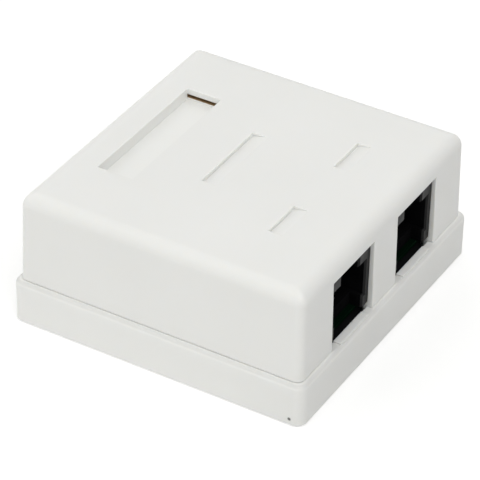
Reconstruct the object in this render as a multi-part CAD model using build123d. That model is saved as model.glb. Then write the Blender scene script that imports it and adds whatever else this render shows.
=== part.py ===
from build123d import *
import os

# Surface mount jack box with two ports: a base tray, a lift-off cover, and a circuit board
# that carries two plug jacks and their wire terminals.
# Millimetres, +Z up, origin at the middle of the underside, ports facing -Y.

# Outside of the box
box_width = 65.0
box_depth = 62.3
box_height = 28.0

# Base tray: the ledge that stands out all round is the rim of its wall
base_height = 9.05
base_wall = 2.2
base_floor = 2.0
base_corner_radius = 2.0
base_inner_radius = 0.6
base_edge_round = 0.95
base_foot_chamfer = 0.3

# Cover: its wall rests on the rim, and a thinner tongue laps down inside the tray
cover_inset = 1.05
cover_roof = 2.0
cover_draft_deg = 1.0
cover_edge_round = 2.65
cover_corner_radius = 1.6
cover_foot_chamfer = 0.2
cover_inner_radius = 0.5
tongue_wall = 0.75
tongue_depth = 3.0
lap_clearance = 0.15

# Snap nibs on the tongue and their pockets in the tray's side walls
snap_spacing = 32.0
snap_length = 8.0
snap_drop = 1.2
snap_height = 1.4
snap_reach = 0.45
snap_clearance = 0.15

# Recesses in the cover's top
label_length = 31.9
label_width = 7.6
label_depth = 2.45
label_rear_margin = 8.55
label_pad_wall = 1.8
label_slot_drop = 1.2
label_slot_height = 0.75
label_slot_reach = 1.5
middle_length = 18.9
middle_width = 3.2
middle_depth = 0.8
middle_rear = 4.1
icon_length = 9.3
icon_width = 3.0
icon_depth = 0.8
icon_front_margin = 13.75

# Port openings, notches that run down to the cover's lower edge, each with a low sill on the tray's rim
port_pitch = 24.3
port_drop = 4.0
port_gap = 0.2
port_head_gap = 0.4
port_recess = 1.05
port_edge_round = 0.25
sill_end_gap = 2.4
sill_height = 0.3
sill_reach = 0.45
sill_round = 0.2

# Jack: a plug cavity with a latch channel over it
plug_width = 11.85
plug_height = 7.5
plug_depth = 12.0
plug_floor = 2.7
plug_floor_slab = 1.0
plug_mouth_chamfer = 0.35
latch_width = 6.6
latch_height = 2.2
latch_lip = 1.5
latch_shoulder = 1.0
jack_side_wall = 1.525
jack_roof = 0.9
nose_relief_side = 0.8
nose_relief_depth = 2.6
nose_depth = 4.2
peg_diameter = 2.6
peg_depth = 8.0
peg_reach = 2.4
peg_clearance = 0.1

# Contact wires and the carrier that holds them and closes the jack's back
contact_count = 8
contact_pitch = 1.02
wire_size = 0.36
wire_clearance = 0.07
wire_run_height = 0.8
wire_tip_height = 5.2
wire_tip_reach = 0.5
wire_fold_depth = 3.9
wire_fold_radius = 0.5
wire_bend_radius = 0.35
wire_tail_reach = 2.6
tail_row_depths = (12.95, 14.9)
carrier_depth = 3.8
carrier_clearance = 0.1
carrier_foot_depth = 6.6
carrier_foot_side = 0.6
comb_side_clearance = 0.12
comb_low = 3.9
comb_high = 6.9

# Insulation displacement blocks, two rows behind each jack
idc_slots = 4
idc_pitch = 3.8
idc_slot_width = 1.0
idc_width = 5.6
idc_bar_height = 5.0
idc_tooth_height = 6.5
idc_tooth_point = 1.2
idc_top_width = 3.2
idc_row_offset = 5.0
idc_jack_gap = 4.0

# Forked contact blades in the blocks
blade_width = 2.4
blade_thickness = 0.5
blade_foot_gap = 0.1
blade_top_drop = 2.0
blade_slit_width = 0.34
blade_slit_depth = 4.6
blade_mouth_width = 0.9
blade_mouth_depth = 0.8
blade_tail_width = 0.7
blade_tail_reach = 2.6
blade_clearance = 0.08

# Circuit board and its screws
board_thickness = 1.6
board_corner_radius = 1.0
board_gap = 0.4
board_side_margin = 1.95
board_tail = 6.4
wire_hole_diameter = 0.9
blade_hole_diameter = 1.0
screw_edge = 3.2
screw_diameter = 2.2
screw_head_diameter = 4.4
screw_head_height = 1.6
screw_head_round = 0.7
screw_length = 6.0
screw_clearance = 0.05
screw_hole_clearance = 0.2
screw_cross_length = 2.6
screw_cross_width = 0.6
screw_cross_depth = 0.9

# Posts, bosses and hooks that carry the board in the tray
post_diameter = 4.4
post_edge = 2.6
boss_diameter = 5.2
boss_hole_spare = 0.6
hook_wall = 1.5
hook_length = 5.0
hook_gap = 0.15
hook_nib = 0.7
hook_nib_height = 1.6
hook_front_margin = 8.0

# Wall fixing, cable ways and tie bridges in the tray's floor
mount_spacing = 50.0
mount_hole_diameter = 4.2
mount_pad_diameter = 7.6
mount_pad_height = 0.8
floor_hole_width = 16.0
floor_hole_depth = 8.2
floor_hole_margin = 2.5
floor_hole_radius = 2.0
entry_width = 12.0
entry_height = 7.5
entry_radius = 2.5
bridge_spacing = 32.0
bridge_width = 7.0
bridge_length = 3.0
bridge_wall = 1.4
bridge_tunnel_height = 2.2

# Sizes that follow from the ones above
side_x = box_width / 2
rear_y = box_depth / 2
front_y = -rear_y
tray_inner_width = box_width - 2 * base_wall
tray_inner_depth = box_depth - 2 * base_wall
tray_inner_x = tray_inner_width / 2
tray_inner_y = tray_inner_depth / 2
cover_wall = base_wall - cover_inset + lap_clearance + tongue_wall
cover_width = box_width - 2 * cover_inset
cover_depth = box_depth - 2 * cover_inset
core_width = cover_width - 2 * cover_wall
core_depth = cover_depth - 2 * cover_wall
tongue_foot = base_height - tongue_depth
roof_underside = box_height - cover_roof
port_xs = (-port_pitch / 2, port_pitch / 2)
jack_width = plug_width + 2 * jack_side_wall
jack_height = plug_floor + plug_height + latch_height + jack_roof
jack_depth = plug_depth + carrier_depth
port_width = jack_width + 2 * port_gap
port_top = box_height - port_drop
jack_face = -cover_depth / 2 + port_recess
jack_rear = jack_face + jack_depth
board_top = port_top - port_head_gap - jack_height
board_bottom = board_top - board_thickness
idc_tooth_width = idc_pitch - idc_slot_width
idc_length = idc_slots * idc_pitch + idc_tooth_width
idc_height = idc_bar_height + idc_tooth_height
idc_front = jack_rear + idc_jack_gap
idc_rear = idc_front + idc_length
row_width = max(jack_width, 2 * idc_row_offset + idc_width)
board_width = port_pitch + row_width + 2 * board_side_margin
board_front = -core_depth / 2 + board_gap
board_rear = idc_rear + board_tail
board_depth = board_rear - board_front
board_middle = (board_front + board_rear) / 2
screw_x = board_width / 2 - screw_edge
screw_y = board_rear - screw_edge
contact_xs = [(i - (contact_count - 1) / 2) * contact_pitch for i in range(contact_count)]
wire_slot = wire_size + 2 * wire_clearance
comb_width = wire_size + 2 * comb_side_clearance
contact_row_width = contact_count * contact_pitch
peg_offset = (contact_row_width + 2 * carrier_foot_side + peg_diameter) / 2
floor_hole_y = tray_inner_y - floor_hole_margin - floor_hole_depth / 2


# Plain block between two opposite corners
def block(low, high):
    size = [b - a for a, b in zip(low, high)]
    middle = [(a + b) / 2 for a, b in zip(low, high)]
    return Pos(*middle) * Box(*size)


# Upright round bar from one height to another
def bar(x, y, z_low, z_high, diameter):
    return Pos(x, y, (z_low + z_high) / 2) * Cylinder(diameter / 2, z_high - z_low)


# Upright prism with rounded corners
def rounded_prism(width, depth, radius, z_low, z_high, y=0):
    return Pos(0, y, z_low) * extrude(RectangleRounded(width, depth, radius), z_high - z_low)


# Block in a jack's own measures: across from its middle, deep from its face, high from the board
def jack_block(x, across, deep, high):
    low = (x + across[0], jack_face + deep[0], board_top + high[0])
    high_corner = (x + across[1], jack_face + deep[1], board_top + high[1])
    return block(low, high_corner)


# Shape drawn in the upright plane along Y, given thickness across X
def upright_plate(points, x, thickness):
    outline = Plane.YZ * make_face(Polyline(*points, close=True))
    return Pos(x - thickness / 2, 0, 0) * extrude(outline, thickness, dir=(1, 0, 0))


# Snap nib or its pocket: a ramp below and a flat catch on top, drawn for the +X side
def snap_wedge(y, root_x, reach, grow):
    catch_z = base_height - snap_drop + grow
    ramp_z = base_height - snap_drop - snap_height - grow
    points = [(root_x, 0, catch_z), (root_x + reach, 0, catch_z), (root_x, 0, ramp_z)]
    length = snap_length + 2 * grow
    return Pos(0, y - length / 2, 0) * extrude(make_face(Polyline(*points, close=True)), length, dir=(0, 1, 0))


def both_sides(shape):
    return [shape, mirror(shape, about=Plane.YZ)]


def make_base_tray():
    tray = rounded_prism(box_width, box_depth, base_corner_radius, 0, base_height)
    tray = fillet(tray.faces().sort_by(Axis.Z)[-1].edges(), base_edge_round)
    tray = chamfer(tray.faces().sort_by(Axis.Z)[0].edges(), base_foot_chamfer)
    tray -= rounded_prism(tray_inner_width, tray_inner_depth, base_inner_radius, base_floor, box_height)

    # Low sills on the rim, one at the foot of each port opening
    for x in port_xs:
        half = port_width / 2 - sill_end_gap
        sill_front = -cover_depth / 2 - sill_reach
        sill_foot = base_height - base_edge_round
        sill = block((x - half, sill_front, sill_foot), (x + half, -tray_inner_y, base_height + sill_height))
        tray += fillet(sill.faces().sort_by(Axis.Z)[-1].edges().sort_by(Axis.Y)[0], sill_round)

    # Pockets for the cover's snap nibs
    pocket_reach = snap_reach - lap_clearance + 2 * snap_clearance
    for y in (-snap_spacing / 2, snap_spacing / 2):
        tray -= both_sides(snap_wedge(y, tray_inner_x, pocket_reach, snap_clearance))

    # Posts under the board's front corners, hooks over its sides, bosses under its rear corners
    post_x = board_width / 2 - post_edge
    tray += both_sides(bar(post_x, board_front + post_edge, base_floor, board_bottom, post_diameter))
    hook_x = board_width / 2 + hook_gap
    hook_y = board_front + hook_front_margin
    hook_top = board_top + hook_gap
    hook = [
        (hook_x, 0, base_floor),
        (hook_x + hook_wall, 0, base_floor),
        (hook_x + hook_wall, 0, hook_top + hook_nib_height),
        (hook_x, 0, hook_top + hook_nib_height),
        (hook_x - hook_nib, 0, hook_top),
        (hook_x, 0, hook_top),
    ]
    hook = extrude(make_face(Polyline(*hook, close=True)), hook_length, dir=(0, 1, 0))
    tray += both_sides(Pos(0, hook_y, 0) * hook)
    tray += both_sides(bar(screw_x, screw_y, base_floor, board_bottom, boss_diameter))

    # Bridges that cable ties pass under
    bridge_half = bridge_width / 2
    bridge_foot = (bridge_spacing / 2 - bridge_half, floor_hole_y - bridge_length / 2, base_floor)
    bridge_head = (
        bridge_spacing / 2 + bridge_half,
        floor_hole_y + bridge_length / 2,
        base_floor + bridge_tunnel_height + bridge_wall,
    )
    tunnel_foot = (bridge_foot[0] + bridge_wall, bridge_foot[1], base_floor)
    tunnel_head = (bridge_head[0] - bridge_wall, bridge_head[1], base_floor + bridge_tunnel_height)
    tray += both_sides(block(bridge_foot, bridge_head) - block(tunnel_foot, tunnel_head))

    # Holes: board screws, wall screws on raised pads, and a way for a cable through the floor
    hole_foot = board_top - screw_length - boss_hole_spare
    hole_diameter = screw_diameter + 2 * screw_clearance
    tray -= both_sides(bar(screw_x, screw_y, hole_foot, board_bottom, hole_diameter))
    pad_top = base_floor + mount_pad_height
    tray += both_sides(bar(mount_spacing / 2, 0, base_floor, pad_top, mount_pad_diameter))
    tray -= both_sides(bar(mount_spacing / 2, 0, 0, pad_top, mount_hole_diameter))
    hole = (floor_hole_width, floor_hole_depth, floor_hole_radius)
    tray -= rounded_prism(*hole, 0, base_floor, floor_hole_y)
    return tray


# Recess whose floor is deepest along its rear wall and runs out to nothing at the front
def ramped_recess(x, rear, length, width, depth):
    points = [(rear, box_height - depth), (rear, box_height), (rear - width, box_height)]
    return upright_plate(points, x, length)


# Outer edges of the port notches: up both sides and across the top
def port_edges(shell):
    found = []
    for edge in shell.edges():
        middle = edge.center()
        across = min(abs(middle.X - x) for x in port_xs)
        on_front = edge.bounding_box().max.Y < -cover_depth / 2 + port_recess / 2
        in_notch = across < port_width / 2 + port_gap and base_height < middle.Z < port_top + port_gap
        if on_front and in_notch and edge.length > port_recess:
            found.append(edge)
    return found


def make_cover():
    rise = box_height - base_height
    foot = Pos(0, 0, base_height) * Rectangle(cover_width, cover_depth)
    shell = extrude(foot, rise, taper=cover_draft_deg)

    # Broad round along the top first, then a tighter one up each corner and over it
    shell = fillet(shell.faces().sort_by(Axis.Z)[-1].edges(), cover_edge_round)
    uprights = [edge for edge in shell.edges() if edge.bounding_box().size.Z > rise / 2]
    shell = fillet(uprights, cover_corner_radius)
    shell = chamfer(shell.faces().sort_by(Axis.Z)[0].edges(), cover_foot_chamfer)
    tongue_width = tray_inner_width - 2 * lap_clearance
    tongue_length = tray_inner_depth - 2 * lap_clearance
    shell += rounded_prism(tongue_width, tongue_length, cover_inner_radius, tongue_foot, base_height)
    shell -= rounded_prism(core_width, core_depth, cover_inner_radius, tongue_foot, roof_underside)

    # Label recess over a thicker pad, with a clip slot in each end wall
    label_rear = rear_y - label_rear_margin
    label_front = label_rear - label_width
    label_floor = box_height - label_depth
    label_end = label_length / 2
    pad_low = (-label_end - label_pad_wall, label_front - label_pad_wall, label_floor - label_pad_wall)
    shell += block(pad_low, (label_end + label_pad_wall, label_rear + label_pad_wall, roof_underside))
    shell -= block((-label_end, label_front, label_floor), (label_end, label_rear, box_height))
    slot_end = label_end + label_slot_reach
    slot_top = box_height - label_slot_drop
    shell -= block((-slot_end, label_front, slot_top - label_slot_height), (slot_end, label_rear, slot_top))

    # Shallow recesses in the middle of the top and over each port
    shell -= ramped_recess(0, middle_rear, middle_length, middle_width, middle_depth)
    icon_rear = front_y + icon_front_margin + icon_width
    for x in port_xs:
        shell -= ramped_recess(x, icon_rear, icon_length, icon_width, icon_depth)

    # Port notches in the front wall, with softened outer edges
    for x in port_xs:
        low = (x - port_width / 2, front_y, tongue_foot)
        shell -= block(low, (x + port_width / 2, -core_depth / 2 + board_gap, port_top))
    shell = fillet(port_edges(shell), port_edge_round)

    # Cable entry in the rear wall
    entry_top = base_height + entry_height
    entry_foot = tongue_foot - 2 * entry_radius
    entry = RectangleRounded(entry_width, entry_top - entry_foot, entry_radius)
    entry = Plane.XZ.offset(-rear_y) * Pos(0, (entry_top + entry_foot) / 2) * entry
    shell -= extrude(entry, rear_y - core_depth / 2 + board_gap, dir=(0, -1, 0))

    # Snap nibs
    for y in (-snap_spacing / 2, snap_spacing / 2):
        shell += both_sides(snap_wedge(y, tongue_width / 2, snap_reach, 0))
    return shell


def make_jack_housing(x):
    half = jack_width / 2
    plug_half = plug_width / 2
    plug_top = plug_floor + plug_height
    pocket_half = contact_row_width / 2 + carrier_foot_side
    housing = jack_block(x, (-half, half), (0, jack_depth), (0, jack_height))

    # Plug cavity, latch channel with a locking lip, and the relief under the plug's nose
    housing -= jack_block(x, (-plug_half, plug_half), (0, jack_depth), (plug_floor, plug_top))
    latch_half = latch_width / 2
    latch_top = plug_top + latch_height
    housing -= jack_block(x, (-latch_half, latch_half), (0, plug_depth), (plug_top, latch_top))
    lock_half = latch_half + latch_shoulder
    housing -= jack_block(x, (-lock_half, lock_half), (latch_lip, plug_depth), (plug_top, latch_top))
    nose_half = plug_half - nose_relief_side
    housing -= jack_block(x, (-nose_half, nose_half), (0, nose_relief_depth), (0, plug_floor))
    face = housing.faces().sort_by(Axis.Y)[0]
    side_edge = half - plug_mouth_chamfer
    foot_edge = board_top + plug_mouth_chamfer
    head_edge = board_top + jack_height - plug_mouth_chamfer
    mouth = [
        edge
        for edge in face.edges()
        if abs(edge.center().X - x) < side_edge and foot_edge < edge.center().Z < head_edge
    ]
    housing = chamfer(mouth, plug_mouth_chamfer)

    # Pocket for the carrier, open to the rear and below, and the slots the wires rise through
    slab_foot = plug_floor - plug_floor_slab
    housing -= jack_block(x, (-plug_half, plug_half), (plug_depth, jack_depth), (0, plug_top))
    housing -= jack_block(x, (-pocket_half, pocket_half), (nose_depth, jack_depth), (0, slab_foot))
    for offset_x in contact_xs:
        across = (offset_x - comb_width / 2, offset_x + comb_width / 2)
        housing -= jack_block(x, across, (nose_depth, plug_depth), (slab_foot, plug_floor))

    # Pegs that locate the jack in the board
    for side in (-peg_offset, peg_offset):
        housing += bar(x + side, jack_face + peg_depth, board_top - peg_reach, board_top, peg_diameter)
    return housing


# Depth of the row that a contact's tail stands in, odd and even contacts apart
def tail_depth(index):
    return tail_row_depths[index % len(tail_row_depths)]


def make_contact_carrier(x):
    back_half = plug_width / 2 - carrier_clearance
    back_depths = (plug_depth + carrier_clearance, jack_depth)
    back_top = plug_floor + plug_height - carrier_clearance
    carrier = jack_block(x, (-back_half, back_half), back_depths, (0, back_top))
    foot_half = contact_row_width / 2 + carrier_foot_side - carrier_clearance
    foot_top = plug_floor - plug_floor_slab - carrier_clearance
    carrier += jack_block(x, (-foot_half, foot_half), (carrier_foot_depth, back_depths[0]), (0, foot_top))

    # A groove, a tail hole and a comb slot for each wire
    groove_low = wire_run_height - wire_slot / 2
    for index, offset_x in enumerate(contact_xs):
        across = (offset_x - wire_slot / 2, offset_x + wire_slot / 2)
        tail = tail_depth(index)
        tail_span = (tail - wire_slot / 2, tail + wire_slot / 2)
        carrier -= jack_block(x, across, (carrier_foot_depth, tail_span[1]), (groove_low, foot_top))
        carrier -= jack_block(x, across, tail_span, (0, foot_top))
        comb = (offset_x - comb_width / 2, offset_x + comb_width / 2)
        comb_end = plug_depth + wire_tip_reach + wire_size
        carrier -= jack_block(x, comb, (back_depths[0], comb_end), (comb_low, comb_high))
    return carrier


# Wire from its solder tail, forward under the cavity, folded back up to its tip in the comb
def make_contact_wire(x, index):
    wire_x = x + contact_xs[index]
    tail_y = jack_face + tail_depth(index)
    run_z = board_top + wire_run_height
    path = FilletPolyline(
        (wire_x, tail_y, board_top - wire_tail_reach),
        (wire_x, tail_y, run_z),
        (wire_x, jack_face + wire_fold_depth, run_z),
        (wire_x, jack_face + plug_depth + wire_tip_reach, board_top + wire_tip_height),
        radius=[wire_bend_radius, wire_fold_radius],
    )
    section = Plane(origin=path @ 0, x_dir=(1, 0, 0), z_dir=path % 0) * Rectangle(wire_size, wire_size)
    return sweep(section, path=path)


def make_contact_wires(x):
    return [make_contact_wire(x, index) for index in range(contact_count)]


# Places of the slot middles along a block
def idc_slot_ys():
    return [idc_front + idc_tooth_width + idc_slot_width / 2 + i * idc_pitch for i in range(idc_slots)]


def make_idc_block(x):
    bar_z = board_top + idc_bar_height
    top_z = board_top + idc_height
    comb = [(idc_front, board_top), (idc_rear, board_top)]
    for tooth in reversed(range(idc_slots + 1)):
        tooth_front = idc_front + tooth * idc_pitch
        tooth_rear = tooth_front + idc_tooth_width
        comb.append((tooth_rear, bar_z))
        comb.append((tooth_rear, top_z - idc_tooth_point))
        comb.append(((tooth_front + tooth_rear) / 2, top_z))
        comb.append((tooth_front, top_z - idc_tooth_point))
        comb.append((tooth_front, bar_z))
    body = upright_plate(comb, x, idc_width)

    # Teeth narrow towards their tops
    half = idc_width / 2
    top_half = idc_top_width / 2
    gable = [
        (x - half, idc_front, board_top),
        (x + half, idc_front, board_top),
        (x + half, idc_front, bar_z),
        (x + top_half, idc_front, top_z),
        (x - top_half, idc_front, top_z),
        (x - half, idc_front, bar_z),
    ]
    body &= extrude(make_face(Polyline(*gable, close=True)), idc_length, dir=(0, 1, 0))

    # Pockets for the contact blades
    pocket_x = blade_thickness / 2 + blade_clearance
    pocket_y = blade_width / 2 + blade_clearance
    for y in idc_slot_ys():
        body -= block((x - pocket_x, y - pocket_y, board_top), (x + pocket_x, y + pocket_y, top_z))
    return body


# Forked blade that cuts through a wire's insulation, with a tail through the board
def make_idc_contact(x, y):
    foot_z = board_top + blade_foot_gap
    top_z = board_top + idc_height - blade_top_drop
    tail_z = board_top - blade_tail_reach
    half = blade_width / 2
    slit = blade_slit_width / 2
    mouth = blade_mouth_width / 2
    tail = blade_tail_width / 2
    right = [
        (y + slit, top_z - blade_slit_depth),
        (y + slit, top_z - blade_mouth_depth),
        (y + mouth, top_z),
        (y + half, top_z),
        (y + half, foot_z),
        (y + tail, foot_z),
        (y + tail, tail_z),
    ]
    left = [(2 * y - point_y, z) for point_y, z in reversed(right)]
    return upright_plate(right + left, x, blade_thickness)


def make_idc_contacts(x):
    return [make_idc_contact(x, y) for y in idc_slot_ys()]


def make_circuit_board():
    outline = (board_width, board_depth, board_corner_radius)
    board = rounded_prism(*outline, board_bottom, board_top, board_middle)
    holes = []
    for x in port_xs:
        for side in (-peg_offset, peg_offset):
            peg_hole = peg_diameter + 2 * peg_clearance
            holes.append(bar(x + side, jack_face + peg_depth, board_bottom, board_top, peg_hole))
        for index, offset_x in enumerate(contact_xs):
            tail_y = jack_face + tail_depth(index)
            holes.append(bar(x + offset_x, tail_y, board_bottom, board_top, wire_hole_diameter))
        for row in (-idc_row_offset, idc_row_offset):
            for y in idc_slot_ys():
                holes.append(bar(x + row, y, board_bottom, board_top, blade_hole_diameter))
    screw_hole = screw_diameter + 2 * screw_hole_clearance
    holes += both_sides(bar(screw_x, screw_y, board_bottom, board_top, screw_hole))
    return board - holes


def make_board_screw():
    head_top = board_top + screw_head_height
    head = bar(screw_x, screw_y, board_top, head_top, screw_head_diameter)
    head = fillet(head.faces().sort_by(Axis.Z)[-1].edges(), screw_head_round)
    screw = head + bar(screw_x, screw_y, board_top - screw_length, board_top, screw_diameter)
    long_half = screw_cross_length / 2
    short_half = screw_cross_width / 2
    for half_x, half_y in ((long_half, short_half), (short_half, long_half)):
        low = (screw_x - half_x, screw_y - half_y, head_top - screw_cross_depth)
        screw -= block(low, (screw_x + half_x, screw_y + half_y, head_top))
    return screw


# Every piece by its node's name
def make_pieces():
    pieces = {
        "base_tray": [make_base_tray()],
        "cover": [make_cover()],
        "circuit_board": [make_circuit_board()],
        "board_screws": both_sides(make_board_screw()),
    }
    for side, x in zip(("left", "right"), port_xs):
        pieces[f"{side}_jack_housing"] = [make_jack_housing(x)]
        pieces[f"{side}_contact_carrier"] = [make_contact_carrier(x)]
        pieces[f"{side}_contact_wires"] = make_contact_wires(x)
        outward = idc_row_offset if x > 0 else -idc_row_offset
        for row, row_x in (("outer", x + outward), ("inner", x - outward)):
            pieces[f"{side}_{row}_idc_block"] = [make_idc_block(row_x)]
            pieces[f"{side}_{row}_idc_contacts"] = make_idc_contacts(row_x)
    return pieces


os.makedirs("parts", exist_ok=True)
for name, shapes in make_pieces().items():
    solids = [solid for shape in shapes for solid in shape.solids()]
    export_step(Compound(solids), f"parts/{name}.step")
    print(name, len(solids), "solids")
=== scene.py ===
import bpy
import bmesh
import math
from mathutils import Matrix, Vector


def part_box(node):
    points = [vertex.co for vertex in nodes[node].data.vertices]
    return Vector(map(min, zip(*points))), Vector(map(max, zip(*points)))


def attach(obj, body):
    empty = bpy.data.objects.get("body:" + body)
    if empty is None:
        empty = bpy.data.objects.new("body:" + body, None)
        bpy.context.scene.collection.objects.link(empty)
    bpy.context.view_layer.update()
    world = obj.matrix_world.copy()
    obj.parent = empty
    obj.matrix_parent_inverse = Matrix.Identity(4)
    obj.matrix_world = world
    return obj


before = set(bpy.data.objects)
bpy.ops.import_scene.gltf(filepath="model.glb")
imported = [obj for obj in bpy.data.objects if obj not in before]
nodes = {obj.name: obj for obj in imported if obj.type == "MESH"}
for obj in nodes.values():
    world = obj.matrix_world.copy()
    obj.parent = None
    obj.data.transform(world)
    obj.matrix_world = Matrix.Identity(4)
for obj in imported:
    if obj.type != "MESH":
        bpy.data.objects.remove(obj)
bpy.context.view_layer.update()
print("frame loaded,", len(nodes), "nodes")

mm = 0.001
jackSides = ("left", "right")
blockRows = ("outer", "inner")
noiseSpan = (0.3, 0.7)  # most of a noise pattern lies between these


# small helpers for shader trees

def newMaterial(name):
    material = bpy.data.materials.new(name)
    material.use_nodes = True
    tree = material.node_tree
    tree.nodes.clear()
    shader = tree.nodes.new("ShaderNodeBsdfPrincipled")
    out = tree.nodes.new("ShaderNodeOutputMaterial")
    tree.links.new(shader.outputs["BSDF"], out.inputs["Surface"])
    return material, tree, shader


def addNode(tree, kind, inputs=None, **settings):
    node = tree.nodes.new("ShaderNode" + kind)
    for key, value in settings.items():
        setattr(node, key, value)
    for key, value in (inputs or {}).items():
        node.inputs[key].default_value = value
    return node


def link(tree, source, target):
    tree.links.new(source, target)


def feed(tree, node, values):
    # plain values are set on the sockets, and outputs of other nodes are linked to them
    for socket, value in zip(node.inputs, values):
        if isinstance(value, bpy.types.NodeSocket):
            link(tree, value, socket)
        else:
            socket.default_value = value


def doMath(tree, operation, *values):
    node = addNode(tree, "Math", operation=operation)
    feed(tree, node, values)
    return node.outputs["Value"]


def doVectorMath(tree, operation, *values):
    node = addNode(tree, "VectorMath", operation=operation)
    feed(tree, node, values)
    return node.outputs["Value" if operation in ("DISTANCE", "DOT_PRODUCT") else "Vector"]


def remap(tree, value, ends, levels=(0.0, 1.0), curve="LINEAR"):
    sockets = ("From Min", "From Max", "To Min", "To Max")
    node = addNode(tree, "MapRange", dict(zip(sockets, (*ends, *levels))), interpolation_type=curve)
    link(tree, value, node.inputs["Value"])
    return node.outputs["Result"]


def objectPoint(tree, stretch=(1, 1, 1)):
    point = addNode(tree, "TexCoord").outputs["Object"]
    if stretch == (1, 1, 1):
        return point
    mapping = addNode(tree, "Mapping", {"Scale": stretch})
    link(tree, point, mapping.inputs["Vector"])
    return mapping.outputs["Vector"]


def splitPoint(tree, point):
    node = addNode(tree, "SeparateXYZ")
    link(tree, point, node.inputs["Vector"])
    return node.outputs


def boxShare(tree, point, low, high):
    # 1 inside a box and inside its mirror image across X
    x, y, z = splitPoint(tree, point)
    folded = addNode(tree, "CombineXYZ")
    feed(tree, folded, (doMath(tree, "ABSOLUTE", x), y, z))
    middle, half = (Vector(low) + Vector(high)) / 2, (Vector(high) - Vector(low)) / 2
    away = doVectorMath(tree, "SUBTRACT", folded.outputs["Vector"], middle)
    over = doVectorMath(tree, "SUBTRACT", doVectorMath(tree, "ABSOLUTE", away), half)
    x, y, z = splitPoint(tree, over)
    worst = doMath(tree, "MAXIMUM", doMath(tree, "MAXIMUM", x, y), z)
    return doMath(tree, "LESS_THAN", worst, 0.0)


def boxShade(tree, point, low, high, paler):
    return doMath(tree, "MULTIPLY_ADD", boxShare(tree, point, low, high), paler, 1.0)


def noise(tree, point, scale, detail=2.0):
    node = addNode(tree, "TexNoise", {"Scale": scale, "Detail": detail})
    link(tree, point, node.inputs["Vector"])
    return node.outputs["Fac"]


def ramp(tree, factor, dark, light, span=noiseSpan):
    node = addNode(tree, "ValToRGB")
    for element, place, tint in zip(node.color_ramp.elements, span, (dark, light)):
        element.position = place
        element.color = (*tint, 1)
    link(tree, factor, node.inputs["Fac"])
    return node.outputs["Color"]


def mixTints(tree, share, one, two):
    node = addNode(tree, "MixRGB")
    feed(tree, node, (share, one, two))
    return node.outputs["Color"]


# what every finish has: a cloudy tint, patchy roughness and a fine grain

plainFinish = {  # used where a finish doesn't say otherwise
    "cloudDetail": 4.0,
    "tintSpan": noiseSpan,
    "grainDetail": 2.0,
    "grainStrength": 0.10,
    "grainDepth": 0.03 * mm,
    "ior": 1.5,
    "gloss": 0.5,
}


def cloudTint(tree, point, look):
    cloud = noise(tree, point, look["cloud"], look["cloudDetail"])
    return ramp(tree, cloud, look["dark"], look["light"], look["tintSpan"])


def patchyRough(tree, point, look):
    return remap(tree, noise(tree, point, look["roughCloud"]), noiseSpan, look["rough"])


def addGrain(tree, shader, point, look):
    height = noise(tree, point, look["grain"], look["grainDetail"])
    depth = {"Strength": look["grainStrength"], "Distance": look["grainDepth"]}
    node = addNode(tree, "Bump", depth)
    link(tree, height, node.inputs["Height"])
    link(tree, node.outputs["Normal"], shader.inputs["Normal"])


def paint(material, *names):
    for name in names:
        mesh = nodes[name].data
        mesh.materials.clear()
        mesh.materials.append(material)


# white moulded shells: cover and base tray

shellLook = {
    **plainFinish,
    "light": (0.822, 0.823, 0.803),
    "dark": (0.806, 0.808, 0.787),
    "cloud": 45.0,
    "rough": (0.40, 0.50),
    "roughCloud": 270.0,
    "grain": 3200.0,
    "grainDetail": 3.0,
    "grainDepth": 0.04 * mm,
    "ior": 1.53,
    "bleed": 0.45 * mm,  # how far light spreads inside the plastic
    "bleedTints": (1.0, 0.96, 0.90),
}
coverMarks = {
    "slotLow": (15.93 * mm, 14.98 * mm, 26.03 * mm),  # clip slots at the label recess's ends, their insides painted brown as painted shade
    "slotHigh": (17.47 * mm, 22.62 * mm, 26.82 * mm),
    "slotShadeTint": (0.34, 0.23, 0.12),
    "recessLow": (-1 * mm, 14.9 * mm, 25.4 * mm),  # the label recess, painted a little paler as painted light against its shade
    "recessHigh": (22.0 * mm, 22.7 * mm, 27.97 * mm),
    "recessPaintedLift": 0.03,
}
trayMarks = {
    "speckPlace": (-32.5 * mm, -28.6 * mm, 1.45 * mm),  # dirt on the tray's side
    "speckSize": 0.45 * mm,
    "speckCore": 0.35,  # share of its size that is solid
    "speckTint": (0.09, 0.085, 0.08),
    "paintedShadeBands": [  # heights of its rise and fall, and how much paler it is
        ((8.40 * mm, 8.80 * mm), (8.99 * mm, 9.06 * mm), -0.12),  # painted shade on the round of the rim
        ((9.08 * mm, 9.15 * mm), (9.29 * mm, 9.34 * mm), -0.15),  # painted shade on the sills' rounds
        ((9.33 * mm, 9.34 * mm), (9.40 * mm, 9.50 * mm), 0.08),  # sill tops, painted paler as painted light against their shade
    ],
}


# painted shade: the clip slots' insides tinted brown where they lie in shadow
def slotShadeShare(tree, point):
    return boxShare(tree, point, coverMarks["slotLow"], coverMarks["slotHigh"])


# painted light: the label recess made a little paler to cancel the shade inside it
def recessPaintedLight(tree, point):
    low, high = coverMarks["recessLow"], coverMarks["recessHigh"]
    return boxShade(tree, point, low, high, coverMarks["recessPaintedLift"])


def speckShare(tree, point):
    size = trayMarks["speckSize"]
    away = doVectorMath(tree, "DISTANCE", point, trayMarks["speckPlace"])
    return remap(tree, away, (size * trayMarks["speckCore"], size), (1.0, 0.0))


# painted shade and light in bands by height: darker rounds on the rim and sills, paler sill tops
def rimShade(tree, point):
    height = splitPoint(tree, point)["Z"]
    shade = 1.0
    for rise, fall, paler in trayMarks["paintedShadeBands"]:
        above = remap(tree, height, rise, curve="SMOOTHSTEP")
        below = remap(tree, height, fall, (1.0, 0.0), curve="SMOOTHSTEP")
        shade = doMath(tree, "MULTIPLY_ADD", doMath(tree, "MULTIPLY", above, below), paler, shade)
    return shade


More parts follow.
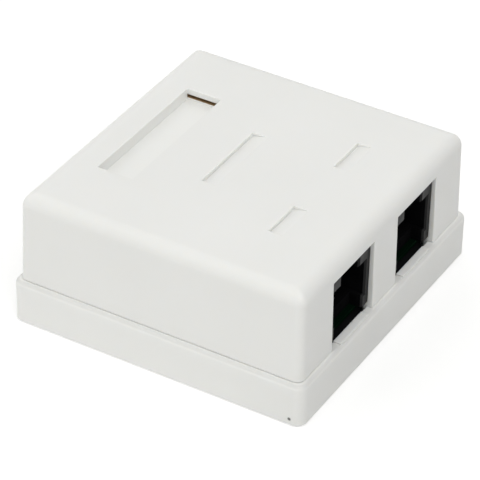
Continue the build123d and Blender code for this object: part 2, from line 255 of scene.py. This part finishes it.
def shellWhite(name, shadeAt, stainAndShadeAt, stainAndShadeTint):
    look = shellLook
    material, tree, shader = newMaterial(name)
    point = objectPoint(tree)
    # painted shade and light by place: the cover's paler label recess, and the tray's bands on rim
    # and sills
    shaded = doVectorMath(tree, "MULTIPLY", cloudTint(tree, point, look), shadeAt(tree, point))
    # mixes in the tray's dirt speck, and on the cover the brown painted shade in the clip slots
    tint = mixTints(tree, stainAndShadeAt(tree, point), shaded, (*stainAndShadeTint, 1))
    link(tree, tint, shader.inputs["Base Color"])
    link(tree, patchyRough(tree, point, look), shader.inputs["Roughness"])
    addGrain(tree, shader, point, look)
    shader.inputs["IOR"].default_value = look["ior"]
    shader.inputs["Subsurface Weight"].default_value = 1.0
    shader.inputs["Subsurface Radius"].default_value = look["bleedTints"]
    shader.inputs["Subsurface Scale"].default_value = look["bleed"]
    return material


coverWhite = shellWhite("coverWhite", recessPaintedLight, slotShadeShare, coverMarks["slotShadeTint"])
trayWhite = shellWhite("trayWhite", rimShade, speckShare, trayMarks["speckTint"])
paint(coverWhite, "cover")
paint(trayWhite, "base_tray")


# black jack plastic

jackLook = {
    **plainFinish,
    "light": (0.0042, 0.0042, 0.0046),
    "dark": (0.0020, 0.0020, 0.0023),
    "tintSpan": (0.35, 0.7),
    "cloud": 260.0,
    "cloudDetail": 3.0,
    "rough": (0.30, 0.40),
    "roughCloud": 700.0,
    "grain": 2600.0,
    "grainDetail": 3.0,
    "ior": 1.22,
    "shine": (0.5, 0.05),  # at the jack's face, and deeper inside
    "innerRough": 0.95,
    "innerDepth": (0.45 * mm, 1.2 * mm),
}
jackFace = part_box("left_jack_housing")[0].y


def jackBlack(name):
    look = jackLook
    material, tree, shader = newMaterial(name)
    point = objectPoint(tree)
    link(tree, cloudTint(tree, point, look), shader.inputs["Base Color"])
    addGrain(tree, shader, point, look)
    shader.inputs["IOR"].default_value = look["ior"]
    fade = [jackFace + depth for depth in look["innerDepth"]]
    deeper = remap(tree, splitPoint(tree, point)["Y"], fade)
    face, inside = look["shine"]
    shine = doMath(tree, "MULTIPLY_ADD", deeper, inside - face, face)
    link(tree, shine, shader.inputs["Specular IOR Level"])
    dull = doMath(tree, "MULTIPLY", deeper, look["innerRough"])
    rough = doMath(tree, "MAXIMUM", patchyRough(tree, point, look), dull)
    link(tree, rough, shader.inputs["Roughness"])
    return material


jackParts = [f"{s}_{p}" for s in jackSides for p in ("jack_housing", "contact_carrier")]
paint(jackBlack("jackBlack"), *jackParts)


# metals

metalLook = {
    **plainFinish,
    "cloud": 900.0,
    "cloudDetail": 3.0,
    "roughCloud": 1800.0,
    "grain": 4000.0,
    "grainStrength": 0.08,
    "grainDepth": 0.02 * mm,
    "streak": (1, 1, 1),
}
goldLook = {
    **metalLook,
    "light": (0.95, 0.70, 0.30),
    "dark": (0.80, 0.55, 0.20),
    "rough": (0.18, 0.30),
}
tinLook = {
    **metalLook,
    "light": (0.80, 0.79, 0.77),
    "dark": (0.62, 0.61, 0.60),
    "rough": (0.28, 0.42),
    "streak": (1, 1, 0.2),
}
zincLook = {
    **metalLook,
    "light": (0.82, 0.83, 0.85),
    "dark": (0.60, 0.61, 0.62),
    "rough": (0.25, 0.40),
}
solderLook = {
    **metalLook,
    "light": (0.78, 0.78, 0.79),
    "dark": (0.58, 0.58, 0.60),
    "rough": (0.14, 0.30),
}


def metal(name, look):
    material, tree, shader = newMaterial(name)
    point = objectPoint(tree, look["streak"])
    link(tree, cloudTint(tree, point, look), shader.inputs["Base Color"])
    link(tree, patchyRough(tree, point, look), shader.inputs["Roughness"])
    addGrain(tree, shader, point, look)
    shader.inputs["Metallic"].default_value = 1.0
    return material


solderTin = metal("solderTin", solderLook)
paint(metal("wireGold", goldLook), *[f"{s}_contact_wires" for s in jackSides])
paint(metal("bladeTin", tinLook), *[f"{s}_{r}_idc_contacts" for s in jackSides for r in blockRows])
paint(metal("screwZinc", zincLook), "board_screws")


# circuit board with painted shade under the jacks' mouths, its tracks, jack lips whose black also
# stands in for shade, terminal blocks and ink

boardLook = {
    **plainFinish,
    "light": (0.0062, 0.044, 0.0180),
    "dark": (0.0048, 0.035, 0.0145),
    "cloud": 120.0,
    "rough": (0.30, 0.45),
    "roughCloud": 720.0,
    "grain": 2200.0,
    "ior": 1.15,
    "gloss": 0.10,
    "mouthLow": (4.7 * mm, -27.8 * mm, 8.6 * mm),  # painted shade on the board under each jack's mouth
    "mouthHigh": (19.6 * mm, -22.0 * mm, 10.4 * mm),
    "mouthPaintedShade": -0.84,
}
traceLook = {
    **plainFinish,
    "light": (0.012, 0.082, 0.034),
    "dark": (0.009, 0.066, 0.027),
    "cloud": 200.0,
    "rough": (0.28, 0.42),
    "roughCloud": 1200.0,
    "grain": 2200.0,
    "ior": 1.25,
}
# the lips' black, which also stands in for the shade in the gap under the board's front
lipLook = {
    **plainFinish,
    "light": jackLook["light"],
    "dark": jackLook["dark"],
    "cloud": 260.0,
    "rough": (0.5, 0.6),
    "roughCloud": 1560.0,
    "grain": 2600.0,
    "ior": 1.15,
    "gloss": 0.1,
}
blockLook = {
    **plainFinish,
    "light": (0.76, 0.74, 0.67),
    "dark": (0.70, 0.68, 0.60),
    "cloud": 150.0,
    "rough": (0.32, 0.45),
    "roughCloud": 900.0,
    "grain": 3000.0,
}
inkLook = {
    **plainFinish,
    "cloud": 400.0,
    "rough": (0.40, 0.55),
    "roughCloud": 2400.0,
    "grain": 2600.0,
    "faded": 0.86,  # share of the tint that is left where the ink is thin
}
inkTints = {
    "white": (0.82, 0.82, 0.80),
    "blue": (0.035, 0.110, 0.480),
    "orange": (0.760, 0.230, 0.025),
    "green": (0.030, 0.300, 0.080),
    "brown": (0.170, 0.070, 0.025),
}


# painted shade: the board darker under each jack's mouth, where the jack shades it
def mouthShade(tree, point):
    low, high = boardLook["mouthLow"], boardLook["mouthHigh"]
    return boxShade(tree, point, low, high, boardLook["mouthPaintedShade"])


def mottled(name, look, shadeAt=None):
    material, tree, shader = newMaterial(name)
    point = objectPoint(tree)
    tint = cloudTint(tree, point, look)
    if shadeAt:
        tint = doVectorMath(tree, "MULTIPLY", tint, shadeAt(tree, point))
    link(tree, tint, shader.inputs["Base Color"])
    link(tree, patchyRough(tree, point, look), shader.inputs["Roughness"])
    addGrain(tree, shader, point, look)
    shader.inputs["IOR"].default_value = look["ior"]
    shader.inputs["Specular IOR Level"].default_value = look["gloss"]
    return material


def ink(colour):
    tint = inkTints[colour]
    thin = tuple(c * inkLook["faded"] for c in tint)
    return mottled("ink" + colour.capitalize(), {**inkLook, "light": tint, "dark": thin})


traceMask = mottled("traceMask", traceLook)
lipShadeBlack = mottled("lipShadeBlack", lipLook)
inks = {colour: ink(colour) for colour in inkTints}
blockNodes = [f"{s}_{r}_idc_block" for s in jackSides for r in blockRows]
paint(mottled("boardMask", boardLook, mouthShade), "circuit_board")
paint(mottled("blockIvory", blockLook), *blockNodes)
print("materials set")


# mesh helpers: flat ribbons and turned rings

sharpestMitre = 0.3  # keeps a ribbon's tight corners from running out to a point


def newPiece(name, bm, material, body):
    bmesh.ops.recalc_face_normals(bm, faces=bm.faces)
    mesh = bpy.data.meshes.new(name)
    bm.to_mesh(mesh)
    bm.free()
    mesh.materials.append(material)
    piece = bpy.data.objects.new(name, mesh)
    bpy.context.scene.collection.objects.link(piece)
    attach(piece, body)


def addRibbon(bm, points, width, low, high, closed=False):
    count = len(points)
    flat = [Vector(p) for p in points]
    rings = []
    for i, here in enumerate(flat):
        before = flat[i - 1] if i or closed else None
        after = flat[(i + 1) % count] if i < count - 1 or closed else None
        ahead = (after - here).normalized() if after else (here - before).normalized()
        behind = (here - before).normalized() if before else ahead
        along = (ahead + behind).normalized()
        side = Vector((-along.y, along.x))
        side *= width / 2 / max(side.dot(Vector((-ahead.y, ahead.x))), sharpestMitre)
        left, right = here + side, here - side
        corners = [(left, low), (right, low), (right, high), (left, high)]
        rings.append([bm.verts.new((p.x, p.y, z)) for p, z in corners])
    for i in range(count if closed else count - 1):
        one, two = rings[i], rings[(i + 1) % count]
        for k in range(4):
            bm.faces.new((one[k], one[(k + 1) % 4], two[(k + 1) % 4], two[k]))
    if not closed:
        bm.faces.new(rings[0])
        bm.faces.new(rings[-1])


def addTurned(bm, centre, profile, steps, ringShaped=False):
    rings = []
    for i in range(steps):
        turn = 2 * math.pi * i / steps
        way = Vector((math.cos(turn), math.sin(turn), 0))
        places = [Vector(centre) + way * r + Vector((0, 0, z)) for r, z in profile]
        rings.append([bm.verts.new(p) for p in places])
    last = len(profile)
    for i in range(steps):
        one, two = rings[i], rings[(i + 1) % steps]
        for k in range(last if ringShaped else last - 1):
            n = (k + 1) % last
            bm.faces.new((one[k], two[k], two[n], one[n])).smooth = True
    if not ringShaped:
        bm.faces.new([ring[0] for ring in rings])
        bm.faces.new([ring[-1] for ring in rings])


# where the board's pieces are, read from the frame

boardLow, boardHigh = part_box("circuit_board")
boardTop, boardUnder = boardHigh.z, boardLow.z
contactSet = {
    "count": 8,
    "wire": 0.36 * mm,
    "tailRows": (12.95 * mm, 14.90 * mm),  # behind the jack's face
    "slots": 4,
    "slotPitch": 3.8 * mm,
    "firstSlot": 3.3 * mm,  # from the block's front
}


def wirePlaces(side):
    low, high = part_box(f"{side}_contact_wires")
    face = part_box(f"{side}_jack_housing")[0].y
    count, tails = contactSet["count"], contactSet["tailRows"]
    first = low.x + contactSet["wire"] / 2
    pitch = (high.x - low.x - contactSet["wire"]) / (count - 1)
    return [(first + i * pitch, face + tails[i % len(tails)]) for i in range(count)]


def slotPlaces(side, row):
    low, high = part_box(f"{side}_{row}_idc_block")
    middle, first = (low.x + high.x) / 2, low.y + contactSet["firstSlot"]
    return [(middle, first + i * contactSet["slotPitch"]) for i in range(contactSet["slots"])]


def westEast(side):
    return sorted(blockRows, key=lambda row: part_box(f"{side}_{row}_idc_block")[0].x)


# black lip at the foot of each jack, closing the gap between the tray's wall and the board; its
# black also stands in for the shade in that gap

lipSet = {
    "wall": 2.2 * mm,  # of the tray
    "gap": 0.06 * mm,
    "sideGap": 1.60 * mm,
    "front": 0.42 * mm,  # top of the lip above the board's underside
    "rear": 0.95 * mm,
    "rounding": 0.12 * mm,
}


def addBar(bm, ends, profile, rounding):
    # bar along X with a closed outline in Y and Z, its ends drawn in a little
    full = [Vector(p) for p in profile]
    middle = sum(full, Vector((0, 0))) / len(full)
    shrunk = [p + (middle - p).normalized() * rounding for p in full]
    west, east = ends
    stations = [(west, shrunk), (west + rounding, full), (east - rounding, full), (east, shrunk)]
    rings = [[bm.verts.new((x, p.x, p.y)) for p in outline] for x, outline in stations]
    for one, two in zip(rings, rings[1:]):
        for k in range(len(full)):
            n = (k + 1) % len(full)
            bm.faces.new((one[k], one[n], two[n], two[k]))
    bm.faces.new(rings[0])
    bm.faces.new(rings[-1])


def makeJackLips():
    bm = bmesh.new()
    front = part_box("base_tray")[0].y + lipSet["wall"] + lipSet["gap"]
    rear = boardLow.y - lipSet["gap"]
    bevel = lipSet["rounding"]
    frontTop, rearTop = boardUnder + lipSet["front"], boardUnder + lipSet["rear"]
    profile = [
        (front, boardUnder), (rear, boardUnder), (rear, rearTop - bevel),
        (rear - bevel, rearTop), (front + bevel, frontTop), (front, frontTop - bevel),
    ]
    for side in jackSides:
        low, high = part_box(f"{side}_jack_housing")
        addBar(bm, (low.x + lipSet["sideGap"], high.x - lipSet["sideGap"]), profile, bevel)
    newPiece("jack_shade_lips", bm, lipShadeBlack, "base")


# copper tracks from each jack to its two terminal blocks

traceSet = {
    "width": 0.22 * mm,
    "height": 0.035 * mm,
    "startGap": 0.05 * mm,  # behind the jack
    "spread": 0.80 * mm,  # behind the jack, where the tracks part
    "blockGap": 0.60 * mm,  # in front of the block, where they run straight again
    "edgeGap": 0.80 * mm,  # from the block to the nearest lane
    "laneStep": 0.36 * mm,
    "endGap": 0.05 * mm,  # beside the block
}


def makeTraces():
    bm = bmesh.new()
    endGap = traceSet["endGap"]
    for side in jackSides:
        wires = wirePlaces(side)
        half = len(wires) // 2
        groups = (wires[:half], wires[:half - 1:-1])
        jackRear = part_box(f"{side}_jack_housing")[1].y
        for row, group, inward in zip(westEast(side), groups, (1, -1)):
            low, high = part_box(f"{side}_{row}_idc_block")
            edge = high.x if inward > 0 else low.x
            slots = slotPlaces(side, row)
            for i, (wireX, _) in enumerate(group):
                reach = traceSet["edgeGap"] + i * traceSet["laneStep"]
                lane = edge + inward * reach
                slotY = slots[i][1]
                route = [
                    (wireX, jackRear + traceSet["startGap"]),
                    (wireX, jackRear + traceSet["spread"]),
                    (lane, low.y - traceSet["blockGap"]),
                    (lane, slotY - reach),
                    (edge + inward * endGap, slotY - endGap),
                ]
                addRibbon(bm, route, traceSet["width"], boardTop, boardTop + traceSet["height"])
    newPiece("board_tracks", bm, traceMask, "base")


# white ink on the board: corner brackets, slot ticks and a bare panel

inkSet = {
    "line": 0.16 * mm,
    "height": 0.012 * mm,
    "margin": 0.35 * mm,
    "leg": 1.4 * mm,
    "tick": (0.55 * mm, 1.15 * mm),
    "panel": (6.0 * mm, 3.2 * mm),
    "panelY": -18.0 * mm,
}


def addInkLine(bm, route, closed=False):
    addRibbon(bm, route, inkSet["line"], boardTop, boardTop + inkSet["height"], closed)


def addCorner(bm, corner, wayX, wayY):
    x, y = corner
    leg = inkSet["leg"]
    addInkLine(bm, [(x + wayX * leg, y), corner, (x, y + wayY * leg)])


def makeBoardInk():
    bm = bmesh.new()
    margin = inkSet["margin"]
    for side in jackSides:
        jackLow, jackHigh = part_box(f"{side}_jack_housing")
        addCorner(bm, (jackLow.x - margin, jackHigh.y + margin), 1, -1)
        addCorner(bm, (jackHigh.x + margin, jackHigh.y + margin), -1, -1)
        for row, outward in zip(westEast(side), (-1, 1)):
            low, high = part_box(f"{side}_{row}_idc_block")
            for x, wayX in ((low.x - margin, 1), (high.x + margin, -1)):
                addCorner(bm, (x, low.y - margin), wayX, 1)
                addCorner(bm, (x, high.y + margin), wayX, -1)
            edge = high.x if outward > 0 else low.x
            for _, y in slotPlaces(side, row):
                addInkLine(bm, [(edge + outward * t, y) for t in inkSet["tick"]])
    halfX, halfY = (v / 2 for v in inkSet["panel"])
    front, rear = inkSet["panelY"] - halfY, inkSet["panelY"] + halfY
    panel = [(-halfX, front), (halfX, front), (halfX, rear), (-halfX, rear)]
    addInkLine(bm, panel, closed=True)
    newPiece("board_ink", bm, inks["white"], "base")


# tinned rings round the board screws, and the soldered tails underneath

solderSet = {
    "padGap": 0.03 * mm,
    "padWidth": 0.45 * mm,
    "padHeight": 0.03 * mm,
    "padRounding": 0.6,  # share of its height
    "padSteps": 48,
    "jointSteps": 18,
    "joint": [  # radius and height in mm
        (0.78, 0), (0.78, -0.03), (0.62, -0.05), (0.46, -0.16),
        (0.35, -0.34), (0.28, -0.58), (0.24, -0.80), (0.14, -0.88),
    ],
}


def makeScrewPads():
    low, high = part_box("board_screws")
    headRadius = (high.y - low.y) / 2
    bm = bmesh.new()
    inner = headRadius + solderSet["padGap"]
    outer = headRadius + solderSet["padWidth"]
    top = solderSet["padHeight"]
    rounding = top * solderSet["padRounding"]
    profile = [
        (inner, 0), (inner, top), (outer - rounding, top), (outer, top - rounding), (outer, 0),
    ]
    for x in (low.x + headRadius, high.x - headRadius):
        centre = (x, (low.y + high.y) / 2, boardTop)
        addTurned(bm, centre, profile, solderSet["padSteps"], ringShaped=True)
    newPiece("screw_pads", bm, solderTin, "base")


def makeSolderJoints():
    bm = bmesh.new()
    profile = [(r * mm, z * mm) for r, z in solderSet["joint"]]
    for side in jackSides:
        places = wirePlaces(side)
        for row in blockRows:
            places += slotPlaces(side, row)
        for x, y in places:
            addTurned(bm, (x, y, boardUnder), profile, solderSet["jointSteps"])
    newPiece("solder_joints", bm, solderTin, "base")


# wire colour tabs on the terminal blocks

tabSet = {
    "size": (2.5 * mm, 3.1 * mm),
    "thick": 0.05 * mm,
    "stripe": (0.85 * mm, 2.6 * mm),
    "stripeThick": 0.02 * mm,
    "cut": 0.35,  # of the corners, as a share of the shorter half side
    "lift": 2.6 * mm,  # tab middle above the board
    "pairs": (("blue", "orange"), ("green", "brown")),  # west block, east block
}


def addPlate(bm, centre, size, thick, outward):
    # upright plate with cut corners, facing along X
    x, middleY, middleZ = centre
    halfY, halfZ = size[0] / 2, size[1] / 2
    cut = min(halfY, halfZ) * tabSet["cut"]
    shortY, shortZ = halfY - cut, halfZ - cut
    outline = [
        (-shortY, -halfZ), (shortY, -halfZ), (halfY, -shortZ), (halfY, shortZ),
        (shortY, halfZ), (-shortY, halfZ), (-halfY, shortZ), (-halfY, -shortZ),
    ]
    back, front = (
        [bm.verts.new((level, middleY + y, middleZ + z)) for y, z in outline]
        for level in (x, x + outward * thick)
    )
    bm.faces.new(back)
    bm.faces.new(front)
    for k in range(len(outline)):
        n = (k + 1) % len(outline)
        bm.faces.new((back[k], back[n], front[n], front[k]))


def makeColourTabs():
    sheets = {colour: bmesh.new() for colour in inks}
    size, thick = tabSet["size"], tabSet["thick"]
    stripe, stripeThick = tabSet["stripe"], tabSet["stripeThick"]
    level = boardTop + tabSet["lift"]
    for side in jackSides:
        for row, pair in zip(westEast(side), tabSet["pairs"]):
            low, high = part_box(f"{side}_{row}_idc_block")
            for i, (_, y) in enumerate(slotPlaces(side, row)):
                colour = pair[i // 2]
                for x, outward in ((low.x, -1), (high.x, 1)):
                    if i % 2:
                        addPlate(sheets[colour], (x, y, level), size, thick, outward)
                        continue
                    addPlate(sheets["white"], (x, y, level), size, thick, outward)
                    proud = (x + outward * thick, y, level)
                    addPlate(sheets[colour], proud, stripe, stripeThick, outward)
    for colour, bm in sheets.items():
        newPiece(f"wire_tabs_{colour}", bm, inks[colour], "base")


# ejector pin rings left by the mould, inside the cover and the tray

pinSet = {
    "radius": 2.1 * mm,
    "lip": 0.16 * mm,
    "height": 0.07 * mm,
    "profile": ((1.0, 0), (0.7, 1), (0.3, 1), (0, 0)),  # shares of the lip and of its height
    "steps": 40,
    "roof": 2.0 * mm,  # thickness of the cover's roof
    "floor": 2.0 * mm,  # thickness of the tray's floor
    "coverPlaces": ((22.5, -20.0), (22.5, 2.0), (22.5, 22.0), (4.5, -3.0)),  # in mm
    "trayPlaces": ((25.6, -20.0), (25.0, 22.5), (8.0, -8.0)),
}


def addPinRings(bm, places, level, way):
    radius, lip, height = pinSet["radius"], pinSet["lip"], pinSet["height"] * way
    profile = [(radius - lip * inwards, height * up) for inwards, up in pinSet["profile"]]
    for x, y in places:
        for mirrored in (-1, 1):
            centre = (mirrored * x * mm, y * mm, level)
            addTurned(bm, centre, profile, pinSet["steps"], ringShaped=True)


def makePinMarks():
    roof = bmesh.new()
    addPinRings(roof, pinSet["coverPlaces"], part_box("cover")[1].z - pinSet["roof"], -1)
    newPiece("cover_pin_marks", roof, coverWhite, "cover")
    floor = bmesh.new()
    addPinRings(floor, pinSet["trayPlaces"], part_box("base_tray")[0].z + pinSet["floor"], 1)
    newPiece("tray_pin_marks", floor, trayWhite, "base")


makeJackLips()
makeTraces()
makeBoardInk()
makeScrewPads()
makeSolderJoints()
makeColourTabs()
makePinMarks()
print("jack, board, terminal and mould details made")


# floor, backdrop light and lamps

stageLook = {
    "floorSize": 6.0,
    "floorDrop": 0.05 * mm,
    "floorTint": (0.66, 0.66, 0.655),
    "floorPaler": 1.01,  # times the tint, in patches
    "floorCloud": 30.0,
    "floorLift": 0.42,
    "bounceDull": (0.62, 0.62, 0.615),  # what the floor throws back in front and on the right
    "bouncePale": (0.93, 0.93, 0.925),  # and on the left and behind
    "bounceWay": (-1, 1, 0),
    "bounceBlend": 25 * mm,
    "skyTint": (1.0, 1.0, 0.99),
    "skyMiddle": 0.50,
    "skyLean": (-0.175, 0.315, 0.235),  # brighter on the left and behind, dimmer at the ports
}
lamps = {
    "frontHigh": {"place": (-0.45, -0.75, 1.20), "width": 1.2, "power": 9.2},
    "rearHigh": {"place": (0.60, 0.70, 1.20), "width": 1.0, "power": 1.2},
}


def seenShare(tree):
    # 1 where the camera looks straight at it, in a reflection or through a clear piece
    path = addNode(tree, "LightPath").outputs
    reflected = doMath(tree, "MAXIMUM", path["Is Camera Ray"], path["Is Glossy Ray"])
    return doMath(tree, "MAXIMUM", reflected, path["Is Transmission Ray"])


def makeFloor():
    look = stageLook
    bpy.ops.mesh.primitive_plane_add(size=look["floorSize"], location=(0, 0, -look["floorDrop"]))
    floor = bpy.context.object
    floor.name = "studio_floor"
    material = bpy.data.materials.new("floorPaper")
    material.use_nodes = True
    tree = material.node_tree
    tree.nodes.clear()
    point = objectPoint(tree)
    seen = seenShare(tree)
    paler = tuple(c * look["floorPaler"] for c in look["floorTint"])
    paper = ramp(tree, noise(tree, point, look["floorCloud"]), look["floorTint"], paler)
    aside = doVectorMath(tree, "DOT_PRODUCT", point, look["bounceWay"])
    ends = (-look["bounceBlend"], look["bounceBlend"])
    blend = remap(tree, aside, ends, curve="SMOOTHSTEP")
    bounce = ramp(tree, blend, look["bounceDull"], look["bouncePale"], (0, 1))
    matt = addNode(tree, "BsdfDiffuse")
    link(tree, mixTints(tree, seen, bounce, paper), matt.inputs["Color"])
    glow = addNode(tree, "Emission")
    link(tree, doMath(tree, "MULTIPLY", seen, look["floorLift"]), glow.inputs["Strength"])
    both = addNode(tree, "AddShader")
    feed(tree, both, (matt.outputs["BSDF"], glow.outputs["Emission"]))
    out = addNode(tree, "OutputMaterial")
    link(tree, both.outputs["Shader"], out.inputs["Surface"])
    floor.data.materials.append(material)


def makeWorld():
    look = stageLook
    world = bpy.data.worlds.new("studioWorld")
    bpy.context.scene.world = world
    world.use_nodes = True
    tree = world.node_tree
    tree.nodes.clear()
    way = addNode(tree, "TexCoord").outputs["Generated"]
    lean = doVectorMath(tree, "DOT_PRODUCT", way, look["skyLean"])
    soft = addNode(tree, "Background", {"Color": (*look["skyTint"], 1)})
    link(tree, doMath(tree, "ADD", lean, look["skyMiddle"]), soft.inputs["Strength"])
    white = addNode(tree, "Background", {"Color": (1, 1, 1, 1), "Strength": 1.0})
    mix = addNode(tree, "MixShader")
    feed(tree, mix, (seenShare(tree), soft.outputs["Background"], white.outputs["Background"]))
    out = addNode(tree, "OutputWorld")
    link(tree, mix.outputs["Shader"], out.inputs["Surface"])


def addLamp(name, place, width, power):
    # round lamp aimed at the middle of the box's underside
    data = bpy.data.lights.new(name, "AREA")
    data.shape = "DISK"
    data.size = width
    data.energy = power
    lamp = bpy.data.objects.new(name, data)
    bpy.context.scene.collection.objects.link(lamp)
    lamp.location = place
    lamp.rotation_euler = (-Vector(place)).to_track_quat("-Z", "Y").to_euler()


makeFloor()
makeWorld()
for lampName, lampSet in lamps.items():
    addLamp(lampName, **lampSet)


# camera at the photograph's viewing angle

cameraSet = {
    "azimuth": -60.282,
    "elevation": 35.616,
    "roll": 1.41,
    "distance": 0.540885,
    "aside": (-0.000637, 0.008358),
    "lens": 211.60,
    "sensor": 36.0,
    "clip": (0.01, 20.0),
}


def makeCamera():
    angles = (cameraSet[name] for name in ("azimuth", "elevation", "roll"))
    azimuth, elevation, roll = (math.radians(angle) for angle in angles)
    level = Vector((math.sin(azimuth), -math.cos(azimuth), 0)) * math.cos(elevation)
    back = level + Vector((0, 0, math.sin(elevation)))
    right = Vector((math.cos(azimuth), math.sin(azimuth), 0))
    up = back.cross(right)
    rolledRight = right * math.cos(roll) + up * math.sin(roll)
    rolledUp = up * math.cos(roll) - right * math.sin(roll)
    data = bpy.data.cameras.new("photoCamera")
    data.lens = cameraSet["lens"]
    data.sensor_width = cameraSet["sensor"]
    data.clip_start, data.clip_end = cameraSet["clip"]
    camera = bpy.data.objects.new("photoCamera", data)
    bpy.context.scene.collection.objects.link(camera)
    turn = Matrix((rolledRight, rolledUp, back)).transposed()
    aside = cameraSet["aside"]
    place = rolledRight * aside[0] + rolledUp * aside[1] + back * cameraSet["distance"]
    camera.matrix_world = Matrix.Translation(place) @ turn.to_4x4()
    bpy.context.scene.camera = camera


makeCamera()
bpy.context.scene.view_settings.view_transform = "Standard"
print("stage, lamps and camera set")
